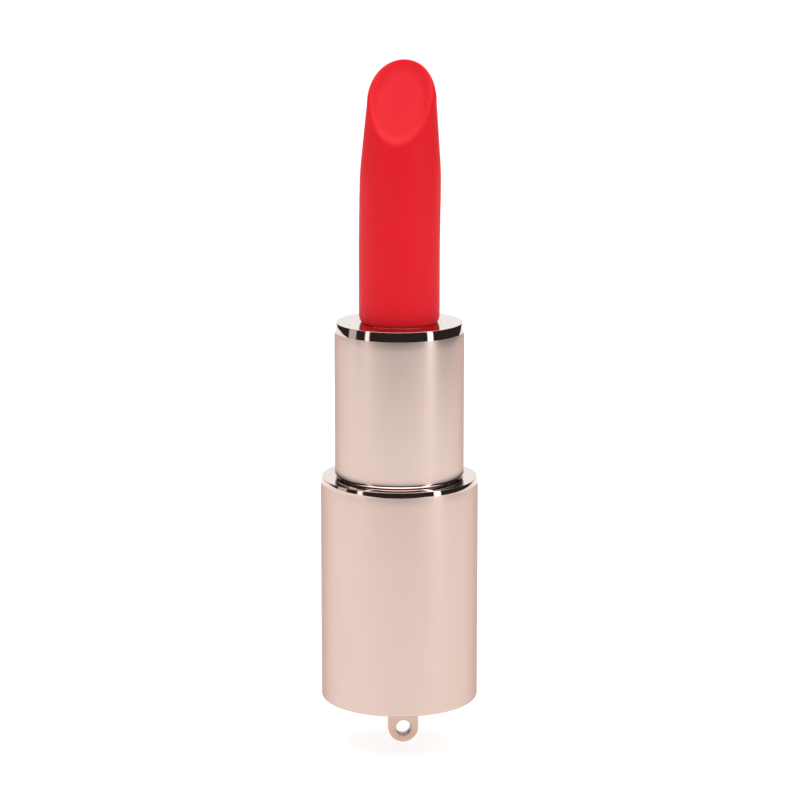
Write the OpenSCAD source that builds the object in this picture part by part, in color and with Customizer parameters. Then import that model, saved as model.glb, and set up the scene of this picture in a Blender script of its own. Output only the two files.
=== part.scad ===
// Swivel-up lipstick case: base shell with a hanging loop, turning sleeve, rising bullet.
// Origin: on the axis, level with the lowest point of the loop. +Z up the axis, -Y is the front.

/* [Bullet] */
// Diameter of the bullet; every other diameter follows from it
bullet_d = 12; // [10:0.1:15]
// Height that shows when the bullet is right up
bullet_h = 38.8; // [32:0.1:47]
// Turns of the sleeve from right up to right down
turns = 1.5; // [1.25:0.25:2]

/* [Sleeve] */
// Height of the sleeve above the base
sleeve_h = 23.4; // [19.5:0.1:28.2]
// Wall of the sleeve tube
sleeve_wall = 0.6; // [0.45:0.05:0.75]
// Height of the polished band at the top
band_h = 1.4; // [1.2:0.05:2]
// Thickness of the top face
roof = 0.7; // [0.5:0.05:0.9]
// Bevel at the foot of the sleeve
foot_bevel = 0.4; // [0.1:0.05:0.4]
// Gap between the sleeve's foot and the collar
foot_gap = 0.12; // [0.1:0.01:0.3]

/* [Base] */
// Wall of the drawn base shell
base_wall = 0.5; // [0.4:0.05:0.8]
// Floor of the drawn base shell
base_floor = 0.6; // [0.5:0.05:1]
// Wall of the collar in the shell's mouth
collar_wall = 2.17; // [1.8:0.01:3]
// Height of the polished lip that shows at the mouth
lip_h = 0.8; // [0.6:0.05:1.2]
// How far that lip leans in as it rises
lip_lean = 0.2; // [0.1:0.05:0.5]
// Depth of the collar's skirt inside the shell
skirt_h = 6; // [5:0.5:8]
// Height of the steel weight
weight_h = 4.4; // [3.5:0.1:6]

/* [Mechanism] */
// Wall of the slotted guide tube
guide_wall = 0.75; // [0.6:0.05:1]
// Wall of the lifting cup
cup_wall = 0.7; // [0.5:0.05:0.9]
// Height of the lifting cup
cup_h = 9; // [8.5:0.1:12]
// Diameter of the two lugs on the cup
lug_d = 2; // [1.6:0.1:2.4]
// How far a lug reaches into the cam
lug_reach = 0.8; // [0.6:0.05:1.2]
// Wall of the cam behind its grooves
cam_wall = 1; // [0.8:0.05:1.5]
// Gap between the sleeve's journal and the collar
run_gap = 0.08; // [0.05:0.01:0.1]
// Gap at each side of a lug
lug_gap = 0.13; // [0.1:0.01:0.2]
// Gap between the cup and the guide tube
slide_gap = 0.15; // [0.1:0.01:0.25]

/* [Loop] */
// Width of the loop's tab
loop_w = 4.6; // [4:0.1:6]
// Thickness of the tab
loop_t = 1.6; // [1.2:0.1:2.2]
// Diameter of the hole in the loop
loop_hole = 2.26; // [1.8:0.02:2.8]
// Distance from the base to the hole's centre
loop_drop = 5.15; // [4:0.05:7]
// Offset of the loop to the right of the axis
loop_x = 0.55; // [0:0.05:1]
// Turn of the loop about the vertical
loop_turn = 6; // [0:1:20]

/* [Hidden] */
$fn = 96;

satin = "#dcc3b6";
polished = "#e8d6cc";
peach = "#dcb29b";
red = "#e02b33";
moulding = "#f1efe8";
steel = "#9aa0a6";
black_rubber = "#2b2b2b";

// Gaps: between neighbours that don't rub, behind a groove, round the loop's stem
part_gap = 0.1;
groove_gap = 0.15;
stem_gap = 0.05;

// Radii, from the bullet outwards
bullet_r = bullet_d / 2;
rim_show = 0.1;
cup_r = bullet_r + rim_show;
stub_r = cup_r - cup_wall;
hole_r = cup_r + part_gap;
guide_r = cup_r + slide_gap;
guide_out = guide_r + guide_wall;
cam_in = guide_out + part_gap;
lug_r = cam_in + lug_reach;
groove_r = lug_r + groove_gap;
sleeve_bore = groove_r + cam_wall;
cam_out = sleeve_bore;
sleeve_r = sleeve_bore + sleeve_wall;
journal_r = cam_out + run_gap;
liner_bore = cam_out + groove_gap;
base_bore = journal_r + collar_wall;
base_r = base_bore + base_wall;

// Heights of the stack in the base, from the shell's floor up
washer_t = 0.5;
liner_floor = 1.5;
foot_h = 1.6;
thrust_h = 0.4;
weight_z = base_floor;
liner_z = weight_z + weight_h;
foot_z = liner_z + liner_floor;
thrust_z = foot_z + foot_h;
cam_z = thrust_z + thrust_h + part_gap / 2;

// The lift: the lugs travel the bullet's height and the set-back of its tip, so the base
// is as tall as the cup needs to stop just above the guide's foot
set_back = 0.7;
floor_gap = 1;
stroke = bullet_h + set_back;
base_h = thrust_z + floor_gap + stroke + cup_h - sleeve_h;
top_z = base_h + sleeve_h;
tip_z = top_z + bullet_h;
rim_h = 0.5;
cup_floor = 0.8;
lug_drop = 6;
lug_z = top_z - lug_drop;
low_lug_z = lug_z - stroke;
slot_end = lug_d / 2 + lug_gap;
spigot_h = 1.3;
spigot_z = top_z - band_h - spigot_h;
guide_top = top_z - roof - 2 * part_gap;

// The retaining ring and the friction ring, under and inside the collar
snap_h = 0.8;
snap_depth = 0.4;
snap_out = 0.95;
snap_r = cam_out + snap_out;
pocket_h = 1.6;
pocket_gap = 0.4;
skirt_z = base_h - lip_h - skirt_h;
snap_z = skirt_z - snap_h - part_gap;
ring_d = 1;
ring_drop = 2.2;
ring_z = base_h - lip_h - ring_drop;

// The loop's stem, its peened head and the washer under the head
stem_r = 1.3;
head_r = 1.9;
head_h = 0.6;
washer_r = 2.6;
head_gap = 0.3;

pitch = stroke / turns;
lug_mid = (cam_in + lug_r) / 2;
// Half angle of a groove that clears a round lug square to its slope
helix = atan(pitch / (360 * lug_mid * PI / 180));
groove_half = (lug_d / 2 + lug_gap) / sin(helix) / lug_mid * 180 / PI;

// Lifts a piece drawn from the base's underside so that the loop's foot is at zero
module standing() translate([0, 0, loop_drop + loop_w / 2]) children();

module ring(r_out, r_in, z, h) {
    translate([0, 0, z]) difference() {
        cylinder(r = r_out, h = h);
        translate([0, 0, -1]) cylinder(r = r_in, h = h + 2);
    }
}

module turned(points) rotate_extrude() polygon(points);

// Deep-drawn aluminium cup with a small rounded edge at its foot
module base_shell() {
    edge = 0.4;
    color(satin) standing() difference() {
        rotate_extrude() difference() {
            union() {
                translate([0, edge]) square([base_r, base_h - lip_h - edge]);
                square([base_r - edge, edge]);
                translate([base_r - edge, edge]) circle(r = edge);
            }
            translate([0, base_floor]) square([base_bore, base_h]);
            translate([-base_r, -1]) square([base_r, base_h]);
        }
        translate([loop_x, 0, -1]) cylinder(r = stem_r + stem_gap, h = base_floor + 2);
    }
}

// Polished collar pressed into the shell's mouth; it carries the sleeve's journal
module base_collar() {
    groove = ring_d / 2 + 0.03;
    color(polished) standing() difference() {
        turned([[journal_r, skirt_z], [base_bore, skirt_z], [base_bore, base_h - lip_h],
                [base_r, base_h - lip_h], [base_r - lip_lean, base_h], [journal_r, base_h]]);
        ring(cam_out + ring_d + groove_gap, cam_out, ring_z - groove, 2 * groove);
    }
}

// Moulded liner that grips the guide tube's foot and holds the weight down
module base_liner() {
    color(moulding) standing() difference() {
        translate([0, 0, liner_z]) cylinder(r = base_bore, h = skirt_z - liner_z);
        translate([0, 0, foot_z]) cylinder(r = liner_bore, h = base_h);
        translate([0, 0, skirt_z - pocket_h]) cylinder(r = snap_r + pocket_gap, h = base_h);
        translate([loop_x, 0, liner_z - 1]) cylinder(r = head_r + head_gap, h = liner_floor + 2);
    }
}

// Turned steel slug that gives the base its weight
module base_weight() {
    color(steel) standing() difference() {
        translate([0, 0, weight_z]) cylinder(r = base_bore - part_gap, h = weight_h);
        translate([loop_x, 0, weight_z - 1]) cylinder(r = washer_r + 2 * part_gap, h = weight_h + 2);
    }
}

// Flat loop with a stem that is peened over inside the shell
module hanging_loop() {
    bore_r = loop_hole / 2;
    stem_h = base_floor + washer_t;
    head_draft = 0.4;
    color(peach) standing() translate([loop_x, 0, 0]) rotate([0, 0, loop_turn]) {
        rotate([90, 0, 0]) linear_extrude(height = loop_t, center = true) difference() {
            union() {
                translate([0, -loop_drop]) circle(r = loop_w / 2);
                translate([-loop_w / 2, -loop_drop]) square([loop_w, loop_drop]);
            }
            translate([0, -loop_drop]) circle(r = bore_r);
        }
        cylinder(r = stem_r, h = stem_h + head_h / 2);
        translate([0, 0, stem_h]) cylinder(r1 = head_r, r2 = head_r - head_draft, h = head_h);
    }
}

module loop_washer() {
    color(steel) standing() translate([loop_x, 0, 0]) ring(washer_r, stem_r + stem_gap, base_floor, washer_t);
}

// Inner body: a tube with two upright slots and a closed foot
module guide_tube() {
    slot_w = lug_d + 2 * lug_gap;
    slot_low = low_lug_z - slot_end;
    slot_top = lug_z + slot_end;
    color(moulding) standing() difference() {
        union() {
            translate([0, 0, foot_z]) cylinder(r = liner_bore, h = foot_h);
            translate([0, 0, foot_z]) cylinder(r = guide_out, h = guide_top - foot_z);
        }
        translate([0, 0, thrust_z]) cylinder(r = guide_r, h = top_z);
        translate([-groove_r, -slot_w / 2, slot_low])
            cube([2 * groove_r, slot_w, slot_top - slot_low]);
    }
}

module thrust_washer() {
    color(steel) standing() ring(cam_out, guide_out + part_gap, thrust_z, thrust_h);
}

// Rubber ring in the collar that gives the turn its drag
module friction_ring() {
    color(black_rubber) standing() translate([0, 0, ring_z]) rotate_extrude()
        translate([cam_out + part_gap / 2 + ring_d / 2, 0]) circle(r = ring_d / 2, $fn = 32);
}

// Two helical grooves for the lugs, each a sector swept up the lift
module cam_grooves() {
    low = low_lug_z - slot_end;
    rise = stroke + 2 * slot_end;
    twist = 360 * rise / pitch;
    steps = 4;
    open_in = cam_in - 0.4;
    side = [for (i = [0 : steps]) groove_half * (2 * i / steps - 1)];
    outer = [for (a = side) groove_r * [cos(a), sin(a)]];
    inner = [for (i = [steps : -1 : 0]) open_in * [cos(side[i]), sin(side[i])]];
    for (half = [0, 180])
        translate([0, 0, low]) rotate([0, 0, half - 360 * (slot_end + stroke) / pitch])
            linear_extrude(height = rise, twist = -twist, slices = ceil(twist / 6), $fn = 8)
                polygon(concat(outer, inner));
}

// Tube outside the guide, fixed in the sleeve; its grooves drive the lugs
module spiral_cam() {
    color(moulding) standing() difference() {
        ring(cam_out, cam_in, cam_z, spigot_z - cam_z);
        cam_grooves();
        ring(cam_out + 1, cam_out - snap_depth, snap_z, snap_h);
    }
}

// Split spring ring that keeps the cam from lifting out of the collar
module retaining_ring() {
    split = 1.2;
    color(steel) standing() difference() {
        ring(snap_r, cam_out - snap_depth, snap_z, snap_h);
        translate([0, -split / 2, snap_z - 1]) cube([base_r, split, snap_h + 2]);
    }
}

// Satin aluminium tube with a bright bevel at its foot
module sleeve_tube() {
    foot = base_h + foot_gap;
    color(satin) standing() turned([[sleeve_bore, foot], [sleeve_r - foot_bevel, foot],
                         [sleeve_r, foot + foot_bevel], [sleeve_r, top_z - band_h],
                         [sleeve_bore, top_z - band_h]]);
}

// Polished end cap: a band, a rounded edge, a flat face with the bullet's hole, and a spigot
module sleeve_cap() {
    edge = 0.3;
    spigot = 0.6;
    color(polished) standing() rotate_extrude() difference() {
        union() {
            translate([0, top_z - band_h]) square([sleeve_r, band_h - edge]);
            translate([0, spigot_z]) square([sleeve_bore, top_z - spigot_z]);
            translate([0, top_z - edge]) square([sleeve_r - edge, edge]);
            translate([sleeve_r - edge, top_z - edge]) circle(r = edge);
        }
        translate([0, spigot_z - 1]) square([sleeve_bore - spigot, top_z - roof - spigot_z + 1]);
        translate([-1, 0]) square([hole_r + 1, top_z + 1]);
    }
}

// Lifting cup with two round lugs
module lift_cup() {
    low = top_z - cup_h;
    color(moulding) standing() difference() {
        union() {
            translate([0, 0, low]) cylinder(r = cup_r, h = cup_h - rim_h);
            for (side = [0, 180]) rotate([0, 0, side]) translate([stub_r, 0, lug_z])
                rotate([0, 90, 0]) cylinder(d = lug_d, h = lug_r - stub_r, $fn = 48);
        }
        translate([0, 0, low + cup_floor]) cylinder(r = stub_r, h = cup_h);
    }
}

// Polished rim on the cup; the bullet's foot stands on it, flush with the sleeve's top face
module cup_rim() {
    color(polished) standing() ring(cup_r, stub_r, top_z - rim_h, rim_h);
}

// Bullet: a stub in the cup, a rounded foot, a straight body, a shoulder, a tapered tip,
// and a slanted face with an oval dish in it
module bullet() {
    foot_in = 0.55;
    foot_tall = 1.4;
    shoulder = 16.6;
    taper = 0.88;
    neck_r = bullet_r - taper;
    neck = 6.4;
    crest = 0.5;
    slant = 33;
    dish_low = 6.05;
    dish_front = 1.9;
    dish_w = 3.7;
    dish_reach = 2.3;
    dish_depth = 0.45;
    dish_r = (dish_w * dish_w + dish_depth * dish_depth) / (2 * dish_depth);
    foot_pts = [for (a = [0 : 15 : 90])
        [bullet_r - foot_in * (1 - sin(a)), top_z + foot_tall * (1 - cos(a))]];
    dome_pts = [for (a = [0 : 9 : 90])
        [neck_r * cos(a), tip_z - neck + (neck + crest) * sin(a)]];
    color(red) standing() difference() {
        union() {
            turned(concat([[0, top_z]], foot_pts, [[bullet_r, tip_z - shoulder]], dome_pts));
            translate([0, 0, top_z - cup_h + cup_floor]) cylinder(r = stub_r, h = cup_h - cup_floor);
        }
        translate([0, -dish_front, tip_z - dish_low]) rotate([90 - slant, 0, 0]) {
            translate([-bullet_d, -bullet_d * 2, 0]) cube([bullet_d * 2, bullet_d * 4, bullet_d * 2]);
            for (side = [-1 : 1])
                translate([0, side * dish_reach, dish_r - dish_depth]) sphere(r = dish_r);
        }
    }
}

base_shell();
base_collar();
base_liner();
base_weight();
hanging_loop();
loop_washer();
guide_tube();
thrust_washer();
friction_ring();
spiral_cam();
retaining_ring();
sleeve_tube();
sleeve_cap();
lift_cup();
cup_rim();
bullet();
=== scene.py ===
from math import cos, exp, hypot, log, pi, radians, sin, tan

import bmesh
import bpy
from mathutils import Matrix, Vector


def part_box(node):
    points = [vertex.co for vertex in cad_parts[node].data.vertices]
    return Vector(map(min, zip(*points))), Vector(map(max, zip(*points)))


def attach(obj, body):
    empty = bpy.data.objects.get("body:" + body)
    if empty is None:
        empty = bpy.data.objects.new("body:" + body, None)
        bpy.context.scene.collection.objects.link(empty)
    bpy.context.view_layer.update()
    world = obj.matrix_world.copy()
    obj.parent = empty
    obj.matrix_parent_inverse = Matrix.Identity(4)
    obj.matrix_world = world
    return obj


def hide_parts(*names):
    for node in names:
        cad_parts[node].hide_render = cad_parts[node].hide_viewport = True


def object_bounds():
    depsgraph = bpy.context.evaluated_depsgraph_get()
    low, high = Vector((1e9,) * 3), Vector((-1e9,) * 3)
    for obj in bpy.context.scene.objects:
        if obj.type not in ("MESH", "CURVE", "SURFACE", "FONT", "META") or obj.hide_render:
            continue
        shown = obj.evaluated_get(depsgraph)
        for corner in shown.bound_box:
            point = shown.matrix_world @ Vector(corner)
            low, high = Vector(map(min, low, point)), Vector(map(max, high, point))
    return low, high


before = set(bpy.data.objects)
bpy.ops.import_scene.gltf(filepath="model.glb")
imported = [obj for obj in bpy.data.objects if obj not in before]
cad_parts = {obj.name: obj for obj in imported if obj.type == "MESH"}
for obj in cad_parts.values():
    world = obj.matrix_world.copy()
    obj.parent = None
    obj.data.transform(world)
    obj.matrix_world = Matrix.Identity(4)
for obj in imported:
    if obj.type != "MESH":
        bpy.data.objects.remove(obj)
size_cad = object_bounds()
MM = 0.001

# --- Camera -------------------------------------------------------------------------------
# A long lens, a little above the case and square to its front, aimed at the axis just
# under the middle of the case.
AIM_RIGHT, AIM_UP = 0.1 * MM, 45.7 * MM
AIM = Vector((AIM_RIGHT, 0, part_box("base_shell")[0].z + AIM_UP))
CAMERA_ABOVE = radians(11.7)
CAMERA_AWAY = 432.8 * MM

camera_data = bpy.data.cameras.new("camera")
camera_data.lens = 130.5
camera_data.sensor_width = 36
camera_data.clip_start = 0.01
camera_data.clip_end = 20
camera = bpy.data.objects.new("camera", camera_data)
bpy.context.scene.collection.objects.link(camera)
sight = Vector((0, cos(CAMERA_ABOVE), -sin(CAMERA_ABOVE)))
camera.location = AIM - sight * CAMERA_AWAY
camera.rotation_euler = sight.to_track_quat("-Z", "Y").to_euler()
bpy.context.scene.camera = camera
bpy.context.scene.view_settings.view_transform = "Standard"


# --- Base shell ---------------------------------------------------------------------------
# The lower case: a deep-drawn aluminium cup, bead-blasted and dyed champagne, with a small
# rolled edge at its foot and a hole for the loop's stem.
class Wire:
    """One value in a node tree; sums and products of wires add Math nodes."""

    def __init__(self, owner, socket):
        self.owner = owner
        self.socket = socket

    def math(self, operation, a, b=0.0):
        return self.owner.node("ShaderNodeMath", {"operation": operation}, {0: a, 1: b})

    def __add__(self, other):
        return self.math("ADD", self, other)

    def __sub__(self, other):
        return self.math("SUBTRACT", self, other)

    def __rsub__(self, other):
        return self.math("SUBTRACT", other, self)

    def __mul__(self, other):
        return self.math("MULTIPLY", self, other)

    def __truediv__(self, other):
        return self.math("DIVIDE", self, other)

    def __pow__(self, other):
        return self.math("POWER", self, other)

    def __abs__(self):
        return self.math("ABSOLUTE", self)

    __radd__ = __add__
    __rmul__ = __mul__

    def ramp(self, low, high):
        """0 up to low, 1 from high, and an even rise between them."""
        ends = {"From Min": low, "From Max": high, "Value": self}
        return self.owner.node("ShaderNodeMapRange", {"clamp": True}, ends)


class Nodes:
    """A node tree that is written as expressions on its wires."""

    def __init__(self, tree):
        self.tree = tree

    def node(self, kind, settings=None, inputs=None, out=0):
        made = self.tree.nodes.new(kind)
        for key, value in (settings or {}).items():
            setattr(made, key, value)
        for key, value in (inputs or {}).items():
            self.plug(made.inputs[key], value)
        return Wire(self, made.outputs[out])

    def plug(self, socket, value):
        if isinstance(value, Wire):
            self.tree.links.new(value.socket, socket)
        else:
            socket.default_value = value

    def axes(self, vector):
        return [self.node("ShaderNodeSeparateXYZ", {}, {0: vector}, out=i) for i in range(3)]

    def mixed(self, factor, one, other):
        """Colour one where factor is 0, the other where it is 1."""
        mix = self.tree.nodes.new("ShaderNodeMix")
        mix.data_type = "RGBA"
        for slot, value in ((0, factor), (6, one), (7, other)):
            self.plug(mix.inputs[slot], (*value, 1) if isinstance(value, tuple) else value)
        return Wire(self, mix.outputs[2])


class Finish(Nodes):
    """A material with one Principled shader; what never varies is set on its own sockets."""

    def __init__(self, name, **constants):
        self.material = bpy.data.materials.new(name)
        self.material.use_nodes = True
        super().__init__(self.material.node_tree)
        self.shader = self.tree.nodes["Principled BSDF"]
        for socket, value in constants.items():
            self.shader.inputs[socket.replace("_", " ")].default_value = value
        self.place = self.node("ShaderNodeTexCoord", out="Object")

    def feed(self, socket, wire):
        self.tree.links.new(wire.socket, self.shader.inputs[socket])

    def grain(self, size, detail=2.0, stretch=(1, 1, 1)):
        """Noise from 0 to 1 with spots about size across, longer where stretch is under 1."""
        drawn = self.node("ShaderNodeMapping", {}, {"Vector": self.place, "Scale": stretch})
        noise = {"Vector": drawn, "Scale": 1 / size, "Detail": detail}
        return self.node("ShaderNodeTexNoise", {}, noise)

    def turning(self, pitch):
        """Fine waves from 0 to 1 round the axis, such as a lathe tool leaves, pitch apart."""
        x, y, z = self.axes(self.place)
        phase = ((x * x + y * y) ** 0.5 + z) * (2 * pi / pitch)
        return self.node("ShaderNodeMath", {"operation": "SINE"}, {0: phase}) * 0.5 + 0.5

    def relief(self, height, depth, strength):
        """Raises the surface by depth where height is 1."""
        bump = {"Height": height, "Distance": depth, "Strength": strength}
        self.feed("Normal", self.node("ShaderNodeBump", {}, bump))


def rounded(corners, steps=6, guard=0.02):
    """The outline through (r, z, radius) corners in mm, each rounded to its radius."""
    outline = []
    for i, (r, z, radius) in enumerate(corners):
        here = Vector((r, z))
        if radius <= 0:
            outline.append(here)
            continue
        back = (Vector(corners[i - 1][:2]) - here).normalized()
        ahead = (Vector(corners[(i + 1) % len(corners)][:2]) - here).normalized()
        half = back.angle(ahead) / 2
        reach = radius / tan(half)
        centre = here + (back + ahead).normalized() * radius / sin(half)
        start, end = here + back * reach, here + ahead * reach
        outline.append(start + back * guard)
        for k in range(steps + 1):
            arm = (start - centre).lerp(end - centre, k / steps)
            outline.append(centre + arm.normalized() * radius)
        outline.append(end + ahead * guard)
    return outline


def finished(name, bm, body, finishes, nodes):
    """Closes a mesh into a piece that rides on a body and stands for CAD nodes."""
    mesh = bpy.data.meshes.new(name)
    bm.to_mesh(mesh)
    bm.free()
    mesh.shade_smooth()
    mesh.set_sharp_from_angle(angle=radians(35))
    piece = bpy.data.objects.new(name, mesh)
    bpy.context.scene.collection.objects.link(piece)
    for finish in finishes:
        mesh.materials.append(finish.material)
    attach(piece, body)
    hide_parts(*nodes)
    return piece


def spun(outline, steps=180):
    """A closed outline in mm turned once round the axis."""
    bm = bmesh.new()
    verts = [bm.verts.new((p[0] * MM, 0, p[1] * MM)) for p in outline]
    edges = [bm.edges.new((verts[i - 1], verts[i])) for i in range(len(verts))]
    bmesh.ops.spin(bm, geom=verts + edges, axis=(0, 0, 1), cent=(0, 0, 0), angle=2 * pi,
                   steps=steps, use_merge=True)
    bmesh.ops.remove_doubles(bm, verts=bm.verts, dist=1e-7)
    bmesh.ops.recalc_face_normals(bm, faces=bm.faces)
    return bm


def millimetres(node):
    """The box of a CAD node, in mm."""
    low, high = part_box(node)
    return low / MM, high / MM


def satin_champagne(name, low, high, one, other):
    """Blasted aluminium dyed in two close tones, its ends rubbed a little brighter."""
    satin = Finish(name, Metallic=1.0, Specular_Tint=(0.62, 0.52, 0.48, 1))
    cloud = satin.grain(9 * MM, 3, (1, 1, 0.35))
    tooth = satin.grain(0.12 * MM)
    height = satin.axes(satin.place)[2]
    rubbed_low, rubbed_high, rubbed = 0.5 * MM, 0.4 * MM, (0.72, 0.56, 0.50)
    inside = (height - low * MM).ramp(0, rubbed_low) * (high * MM - height).ramp(0, rubbed_high)
    tone = satin.mixed(cloud.ramp(0.3, 0.7), one, other)
    satin.feed("Base Color", satin.mixed(inside, rubbed, tone))
    satin.feed("Roughness", 0.25 + cloud * 0.03 + tooth * 0.02 + inside * 0.03)
    satin.relief(tooth, 0.002 * MM, 0.3)
    return satin


shell_low, shell_high = millimetres("base_shell")
base_r = shell_high.x
base_z = shell_low.z
lip_low = shell_high.z
BASE_WALL, BASE_FLOOR = 0.5, 0.6
STEM_HOLE_R, FOOT_ROUND = 1.9, 0.42
base_in = base_r - BASE_WALL
floor_top = base_z + BASE_FLOOR
MOUTH_TALL, MOUTH_TURN = 1.6, radians(4)


def eased(r, high, steps=6):
    """The top of a wall that is worked in slightly towards its polished edge at height high."""
    most = MOUTH_TALL * MOUTH_TURN / 2
    return [Vector((r - most * (k / steps) ** 2, high - MOUTH_TALL * (1 - k / steps)))
            for k in range(steps + 1)]


shell_outline = rounded([(STEM_HOLE_R, base_z, 0.05), (base_r, base_z, FOOT_ROUND),
                         (base_r, lip_low - MOUTH_TALL, 0)])
shell_outline += eased(base_r, lip_low)[1:]
shell_outline += rounded([(base_in, lip_low, 0), (base_in, floor_top, 0),
                          (STEM_HOLE_R, floor_top, 0)])
satin_base = satin_champagne("satin champagne, base", base_z, lip_low,
                             (0.672, 0.518, 0.460), (0.657, 0.501, 0.440))
finished("base_shell", spun(shell_outline), "base", [satin_base], ["base_shell"])


# --- Collar of the base -------------------------------------------------------------------
# A turned aluminium ring pressed into the shell's mouth. Its face and crowned edge are
# diamond-cut to a mirror, and its bore is the journal the sleeve turns in.
def polished(name, one, other):
    """Diamond-cut aluminium in two close tones, with the finest tool marks."""
    finish = Finish(name, Metallic=1.0)
    haze = finish.grain(3 * MM, 3)
    finish.feed("Base Color", finish.mixed(haze, one, other))
    finish.feed("Roughness", 0.02 + haze * 0.03)
    finish.relief(finish.turning(0.06 * MM), 0.00005 * MM, 0.2)
    return finish


mirror = polished("mirror champagne", (0.79, 0.68, 0.635), (0.77, 0.655, 0.61))
dyed_edge = polished("mirror champagne, edges", (0.66, 0.51, 0.45), (0.65, 0.495, 0.435))


def crowned(r, low, high, end, edge, steps=12):
    """A wall worked in from MOUTH_TURN to the slope end as it rises, then rounded by edge."""
    tall = high - low - edge * (1 - sin(end))
    sweep = tall / (sin(end) - sin(MOUTH_TURN))
    turns = [MOUTH_TURN + (end - MOUTH_TURN) * k / steps for k in range(steps + 1)]
    wall = [Vector((r - sweep * (cos(MOUTH_TURN) - cos(a)),
                    low + sweep * (sin(a) - sin(MOUTH_TURN)))) for a in turns]
    last = wall[-1].x - edge * cos(end)
    turns = [end + (pi / 2 - end) * k / 6 for k in range(1, 7)]
    return wall + [Vector((last + edge * cos(a), high - edge * (1 - sin(a)))) for a in turns]


def edged(bm, low, high, out):
    """Gives the faces between two heights and beyond a radius, in mm, the second finish."""
    for face in bm.faces:
        middle = face.calc_center_median() / MM
        if low < middle.z < high and hypot(middle.x, middle.y) > out:
            face.material_index = 1
    return bm


collar_low, collar_high = millimetres("base_collar")
base_top = collar_high.z
JOURNAL_R, BEVEL = 9.13, 0.1
SHARP_EDGE, EDGE_DEEP = 0.05, 0.3
groove_in = JOURNAL_R + 1.0
groove_low, groove_high = base_top - 3.5, base_top - 2.5
collar_outline = rounded([(JOURNAL_R, collar_low.z, 0.1), (base_in, collar_low.z, 0.15),
                          (base_in, lip_low, 0)])
lip_r = eased(base_r, lip_low)[-1].x
collar_outline += crowned(lip_r, lip_low, base_top, radians(12), SHARP_EDGE)
collar_outline += [Vector(p) for p in (
    (lip_r - EDGE_DEEP, base_top), (JOURNAL_R + BEVEL, base_top), (JOURNAL_R, base_top - BEVEL),
    (JOURNAL_R, groove_high), (groove_in, groove_high), (groove_in, groove_low),
    (JOURNAL_R, groove_low))]
collar = edged(spun(collar_outline), lip_low, base_top - 0.01, lip_r - EDGE_DEEP)
finished("base_collar", collar, "base", [mirror, dyed_edge], ["base_collar"])

# --- Sleeve -------------------------------------------------------------------------------
# The turning upper case: an aluminium tube, drawn, cut to length, blasted and dyed. Its foot
# has a bright crowned edge and turns in the collar.
sleeve_low, sleeve_high = millimetres("sleeve_tube")
sleeve_r = sleeve_high.x
SLEEVE_BORE = 9.05
foot = sleeve_low.z
band_low = sleeve_high.z
PAST_TOP = 5  # keeps the rubbed end off the tube's upper edge, which the cap covers
satin_sleeve = satin_champagne("satin champagne, sleeve", foot, band_low + PAST_TOP,
                               (0.672, 0.530, 0.478), (0.657, 0.513, 0.458))
FOOT_EDGE = 0.42
foot_crown = [Vector((p.x, foot + FOOT_EDGE - p.y))
              for p in crowned(sleeve_r, 0, FOOT_EDGE, radians(38), 0.03)]
tube_outline = [Vector((SLEEVE_BORE, foot))] + foot_crown[::-1]
tube_outline += eased(sleeve_r, band_low) + [Vector((SLEEVE_BORE, band_low))]
tube = edged(spun(tube_outline), foot, foot + FOOT_EDGE, SLEEVE_BORE + 0.1)
finished("sleeve_tube", tube, "sleeve", [satin_sleeve, mirror], ["sleeve_tube"])

# --- Cap of the sleeve --------------------------------------------------------------------
# A turned end cap pressed into the tube. Its crowned band and flat face are diamond-cut,
# and the bullet rises through its hole.
cap_low, cap_high = millimetres("sleeve_cap")
top = cap_high.z
HOLE_R, HOLE_BEVEL = 6.2, 0.02
ROOF, SKIRT = 0.7, 0.6
roof_low = top - ROOF
skirt_in = SLEEVE_BORE - SKIRT
band_r = eased(sleeve_r, band_low)[-1].x
cap_outline = crowned(band_r, band_low, top, radians(11), SHARP_EDGE)
cap_outline += [Vector(p) for p in (
    (band_r - EDGE_DEEP, top), (HOLE_R + HOLE_BEVEL, top), (HOLE_R, top - HOLE_BEVEL),
    (HOLE_R, roof_low), (skirt_in, roof_low), (skirt_in, cap_low.z), (SLEEVE_BORE, cap_low.z),
    (SLEEVE_BORE, band_low))]
cap = edged(spun(cap_outline), band_low, top - 0.01, band_r - EDGE_DEEP)
finished("sleeve_cap", cap, "sleeve", [mirror, dyed_edge], ["sleeve_cap"])

# --- Rim of the lifting cup ---------------------------------------------------------------
# A thin ring on the cup's upper edge, round the bullet's foot, turned and polished like the
# sleeve's cap and flush with its face.
rim_low = millimetres("cup_rim")[0].z
STUB_R, RIM_GAP = 5.4, 0.015
rim_r = HOLE_R - RIM_GAP
rim_outline = rounded([(STUB_R, rim_low, 0), (rim_r, rim_low, 0.02),
                       (rim_r, top, 0.015), (STUB_R, top, 0)], guard=0.005)
finished("cup_rim", spun(rim_outline), "carrier", [mirror], ["cup_rim"])

# --- Bullet -------------------------------------------------------------------------------
# The coloured stick, moulded with a soft matt skin: a rounded foot, a straight body, a
# tapered tip, and an oval dish with a soft raised rim in its slanted face. Its upper part
# bends a hair to the right and its face looks a little to the left.
bullet_low, bullet_high = millimetres("bullet")
bullet_r = bullet_high.x
tip = bullet_high.z
FOOT_IN, FOOT_TALL = 0.55, 1.4
SHOULDER, SHOULDER_SOFT, NECK, CREST = 16.6, 2.4, 6.4, 0.5
neck_r = bullet_r - 0.88
ROWS = 60
BEND_OUT, BEND_TALL = 0.5, 28.0


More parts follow.
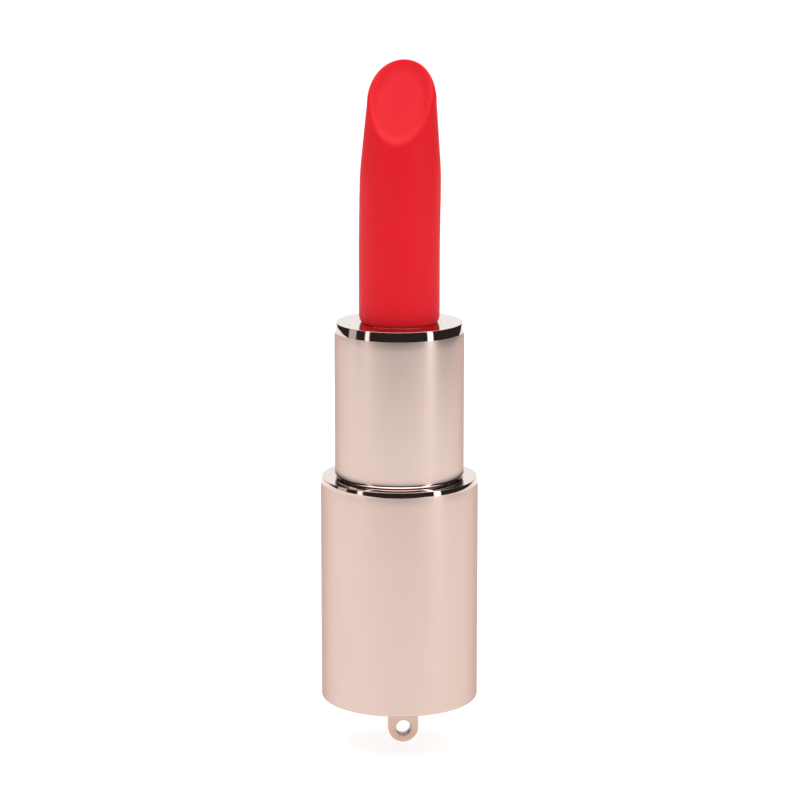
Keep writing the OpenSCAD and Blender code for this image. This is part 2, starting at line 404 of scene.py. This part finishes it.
def bullet_side():
    """The outline from the stub's floor up to the point of the dome, before the face is cut."""
    side = [Vector(p) for p in (
        (0, bullet_low.z), (STUB_R, bullet_low.z), (STUB_R, top - HOLE_BEVEL))]
    for k in range(9):
        a = k * pi / 16
        side.append(Vector((bullet_r - FOOT_IN * (1 - sin(a)), top + FOOT_TALL * (1 - cos(a)))))
    body_low, body_high = top + FOOT_TALL, tip - SHOULDER
    straight = body_high - body_low - SHOULDER_SOFT
    side += [Vector((bullet_r, body_low + straight * k / 20)) for k in range(1, 20)]
    for k in range(ROWS):
        above = -SHOULDER_SOFT + (SHOULDER - NECK + SHOULDER_SOFT) * k / ROWS
        taper = (above + hypot(above, SHOULDER_SOFT / 2)) / 2 / (SHOULDER - NECK)
        side.append(Vector((bullet_r + (neck_r - bullet_r) * taper, body_high + above)))
    for k in range(ROWS + 1):
        a = k * pi / 2 / ROWS
        side.append(Vector((neck_r * cos(a), tip - NECK + (NECK + CREST) * sin(a))))
    return side


SLANT = radians(33)
FACE_OUT = Vector((0, -cos(SLANT), sin(SLANT)))
FACE_UP = Vector((0, sin(SLANT), cos(SLANT)))
FACE_MIDDLE = Vector((0, -1.8, tip - 6.05))
FACE_SOFT = 0.32
FACE_TURN = radians(-8)
DISH_WIDE, DISH_TALL, DISH_DEEP = 4.25, 6.9, 0.36
DISH_WALL, BOWL_DEEP = 0.24, 0.12
RIM_TALL, RIM_AT, RIM_WIDE = 0.18, 1.11, 0.12


def press_face(p):
    """Where a point of the dome goes when the slanted face and its dish are pressed in."""
    out = (p - FACE_MIDDLE).dot(FACE_OUT)
    if out < -8 * FACE_SOFT:
        return p
    kept = -FACE_SOFT * log(1 + exp(-out / FACE_SOFT))
    pressed = 1 / (1 + exp(-out / FACE_SOFT))
    flat = p + FACE_OUT * (kept - out)
    along = (flat - FACE_MIDDLE).dot(FACE_UP) / DISH_TALL
    spread = hypot(flat.x / DISH_WIDE, along)
    wall = min(max((1 - spread) / DISH_WALL, 0), 1)
    deeper_low = min(max(0.68 - 0.34 * along, 0.3), 1)
    sunk = DISH_DEEP * deeper_low * wall * wall * (3 - 2 * wall)
    sunk += BOWL_DEEP * max(1 - spread * spread, 0)
    rim = RIM_TALL * exp(-((spread - RIM_AT) / RIM_WIDE) ** 2)
    return flat + FACE_OUT * pressed * (rim - sunk)


stick = spun(bullet_side(), 220)
for vert in stick.verts:
    vert.co = press_face(vert.co / MM) * MM
bmesh.ops.rotate(stick, verts=stick.verts, cent=(0, 0, 0),
                 matrix=Matrix.Rotation(FACE_TURN, 3, "Z"))
for vert in stick.verts:
    vert.co.x += BEND_OUT * MM * max(0, 1 - (tip - vert.co.z / MM) / BEND_TALL) ** 1.2

red = Finish("matt red", Specular_IOR_Level=0.2, Subsurface_Weight=0.5,
             Subsurface_Scale=0.8 * MM, Subsurface_Radius=(1.0, 0.2, 0.15))
bloom = red.grain(6 * MM, 3)
skin = red.grain(0.25 * MM, 3)
reds = (0.93, 0.012, 0.025), (0.90, 0.011, 0.022)
red.feed("Base Color", red.mixed(bloom.ramp(0.3, 0.7), *reds))
red.feed("Roughness", 0.50 + bloom * 0.06)
red.relief(skin, 0.004 * MM, 0.25)
finished("bullet_stick", stick, "carrier", [red], ["bullet"])

# --- Hanging loop -------------------------------------------------------------------------
# A small flat tab, stamped from strip and plated, with a bore for a ring or cord, the bore's
# wall painted a darker grey as shade inside the hole. Its stem goes up through the shell's
# floor, and its head is peened over a washer.
LOOP_X, LOOP_TURN = 0.55, radians(6)
LOOP_HALF, LOOP_THICK = 2.3, 1.6
BORE_R = 1.13
BORE_DROP = base_z - LOOP_HALF
STEM_R, STEM_TOP = 1.3, base_z + 1.4
HEAD_LOW, HEAD_TOP, HEAD_R, HEAD_CROWN_R = base_z + 1.1, base_z + 1.7, 1.9, 1.52
AROUND = 96
tab = bmesh.new()
rings = []
for kind in ("outside", "bore"):
    ring = []
    for k in range(AROUND):
        a = 2 * pi * (k + 0.5) / AROUND
        reach = BORE_R
        if kind == "outside":
            reach = LOOP_HALF
            if sin(a) > 0:
                reach = min(LOOP_HALF / abs(cos(a)), BORE_DROP / sin(a))
        ring.append(tab.verts.new((cos(a) * reach * MM, -LOOP_THICK / 2 * MM,
                                   (LOOP_HALF + sin(a) * reach) * MM)))
    rings += [tab.edges.new((ring[i - 1], ring[i])) for i in range(AROUND)]
bmesh.ops.bridge_loops(tab, edges=rings)
grown = bmesh.ops.extrude_face_region(tab, geom=tab.faces[:])["geom"]
bmesh.ops.translate(tab, verts=[g for g in grown if isinstance(g, bmesh.types.BMVert)],
                    vec=(0, LOOP_THICK * MM, 0))
bmesh.ops.recalc_face_normals(tab, faces=tab.faces)
# Faces of the bore take the second finish, a grey painted as the shade inside the hole.
for face in tab.faces:
    middle = face.calc_center_median()
    if hypot(middle.x, middle.z - LOOP_HALF * MM) < (BORE_R + 0.02) * MM:
        face.material_index = 1
corners = [e for e in tab.edges if len(e.link_faces) == 2 and e.calc_face_angle() > radians(60)
           and max(v.co.z for v in e.verts) < (base_z - 0.05) * MM]
bmesh.ops.bevel(tab, geom=corners, offset=0.22 * MM, segments=5, profile=0.5, affect="EDGES",
                material=-1)
for wide, narrow, low, high in ((STEM_R, STEM_R, base_z, STEM_TOP),
                                (HEAD_R, HEAD_CROWN_R, HEAD_LOW, HEAD_TOP)):
    stem = bmesh.ops.create_cone(tab, cap_ends=True, segments=48, radius1=wide * MM,
                                 radius2=narrow * MM, depth=(high - low) * MM)
    bmesh.ops.translate(tab, verts=stem["verts"], vec=(0, 0, (low + high) / 2 * MM))
bmesh.ops.rotate(tab, verts=tab.verts, cent=(0, 0, 0),
                 matrix=Matrix.Rotation(LOOP_TURN, 3, "Z"))
bmesh.ops.translate(tab, verts=tab.verts, vec=(LOOP_X * MM, 0, 0))

peach = Finish("peach plate", Metallic=0.75)
wear = peach.grain(0.8 * MM, 4)
peaches = (0.74, 0.51, 0.41), (0.76, 0.55, 0.46)
peach.feed("Base Color", peach.mixed(wear.ramp(0.35, 0.7), *peaches))
peach.feed("Roughness", 0.34 + wear * 0.12)
peach.relief(wear, 0.01 * MM, 0.3)
# The bore's wall: metal painted a darker grey as the shade inside the hole, streaked along the
# bore.
bore_shade = Finish("painted shade, loop bore", Metallic=1.0)
bore_shade_streaks = bore_shade.grain(0.2 * MM, 3, (1, 0.1, 1))
bore_shade.feed("Base Color", bore_shade.mixed(bore_shade_streaks, (0.42, 0.42, 0.41), (0.30, 0.30, 0.29)))
bore_shade.feed("Roughness", 0.35 + bore_shade_streaks * 0.1)
finished("loop_tab", tab, "base", [peach, bore_shade], ["hanging_loop"])

# --- Moulded parts of the mechanism -------------------------------------------------------
# The liner, the slotted guide, the grooved cam and the lifting cup are injection mouldings
# in unfilled acetal: off-white, faintly waxy, with slight flow marks. They snap or press home.
acetal = Finish("acetal", Specular_IOR_Level=0.45)
flow = acetal.grain(4 * MM, 4, (1, 1, 0.3))
whites = (0.86, 0.85, 0.82), (0.80, 0.79, 0.75)
acetal.feed("Base Color", acetal.mixed(flow.ramp(0.3, 0.7), *whites))
acetal.feed("Roughness", 0.38 + flow * 0.12)
acetal.relief(acetal.grain(0.3 * MM), 0.003 * MM, 0.2)


def dressed(finish, *nodes):
    """Gives CAD nodes that keep their own meshes a finish."""
    for name in nodes:
        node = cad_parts[name]
        node.data.materials.clear()
        node.data.materials.append(finish.material)


dressed(acetal, "base_liner", "guide_tube", "spiral_cam", "lift_cup")

# --- Steel parts of the mechanism ---------------------------------------------------------
# The weight is a slug turned from free-cutting bar; the washers are stamped and the
# retaining ring is sprung wire strip, all with fine tool marks and a thin film of oil.
turned_steel = Finish("turned steel", Metallic=1.0)
film = turned_steel.grain(2 * MM, 3)
greys = (0.56, 0.565, 0.57), (0.48, 0.485, 0.49)
turned_steel.feed("Base Color", turned_steel.mixed(film, *greys))
turned_steel.feed("Roughness", 0.26 + film * 0.12)
turned_steel.relief(turned_steel.turning(0.15 * MM), 0.002 * MM, 0.4)
dressed(turned_steel, "base_weight", "loop_washer", "thrust_washer", "retaining_ring")

# --- Friction ring ------------------------------------------------------------------------
# A moulded nitrile ring in the collar's groove, greased, that gives the sleeve its smooth
# drag. Its skin has a faint grey bloom.
nitrile = Finish("nitrile rubber", Specular_IOR_Level=0.4)
bloomed = nitrile.grain(1 * MM, 3)
nitrile.feed("Base Color", nitrile.mixed(bloomed, (0.022, 0.022, 0.023), (0.04, 0.04, 0.04)))
nitrile.feed("Roughness", 0.45 + bloomed * 0.2)
nitrile.relief(bloomed, 0.01 * MM, 0.3)
dressed(nitrile, "friction_ring")

# --- Table and light ----------------------------------------------------------------------
# A plain white table that glows a little, as a lit sheet of acrylic does. Round it stand a
# white back card, two tall strip lights, a low grey card at the left and a lamp overhead. The
# rest of the room is dim, and the polished edges mirror it past the table's front edge.
TABLE_FRONT = 440 * MM
TABLE_LEFT, TABLE_RIGHT, TABLE_BACK = 700 * MM, 380 * MM, 600 * MM
top_of_table = size_cad[0].z - 0.1 * MM
table = bmesh.new()
table.faces.new([table.verts.new((x, y, top_of_table)) for x, y in (
    (-TABLE_LEFT, -TABLE_FRONT), (TABLE_RIGHT, -TABLE_FRONT),
    (TABLE_RIGHT, TABLE_BACK), (-TABLE_LEFT, TABLE_BACK))])
table_mesh = bpy.data.meshes.new("table")
table.to_mesh(table_mesh)
table.free()
table_top = bpy.data.objects.new("table", table_mesh)
bpy.context.scene.collection.objects.link(table_top)
acrylic = Finish("lit acrylic", Base_Color=(0.35, 0.35, 0.35, 1), Roughness=0.9,
                 Emission_Color=(1, 1, 1, 1), Emission_Strength=0.8)
table_mesh.materials.append(acrylic.material)

room = bpy.data.worlds.new("studio")
room.use_nodes = True
bpy.context.scene.world = room
studio = Nodes(room.node_tree)
way = studio.node("ShaderNodeTexCoord", out="Generated")
east, north, up = studio.axes(way)
level = (east * east + north * north) ** 0.5
round_to = studio.node("ShaderNodeMath", {"operation": "ARCTAN2"}, {0: east, 1: 0 - north})
DIM, BACK_CARD, LAMP, LAMP_FRONT, SEEN_WHITE = 0.03, 0.98, 1.8, 1.5, 1.1
SOFT = 1.5
light = DIM + BACK_CARD * (north / level).ramp(0.88, 0.93)
# Bearing from the front and half width in degrees, glow, and how high it reaches.
for bearing, half, glow, crest in ((57, 5, 3.2, 0.75), (-59, 4, 1.7, 0.75), (-92, 9, 0.7, 0.3)):
    near = 1 - abs(round_to - radians(bearing)).ramp(radians(half - SOFT), radians(half + SOFT))
    light = light + glow * near * (1 - up.ramp(crest, crest + 0.05))
lamp = LAMP + LAMP_FRONT * (0 - north).ramp(-0.2, 0.4)
light = light + lamp * up.ramp(0.72, 0.80)
seen = studio.node("ShaderNodeLightPath", out="Is Camera Ray")
backdrop = room.node_tree.nodes["Background"]
studio.plug(backdrop.inputs["Color"], (1, 1, 1, 1))
studio.plug(backdrop.inputs["Strength"], light * (1 - seen) + SEEN_WHITE * seen)
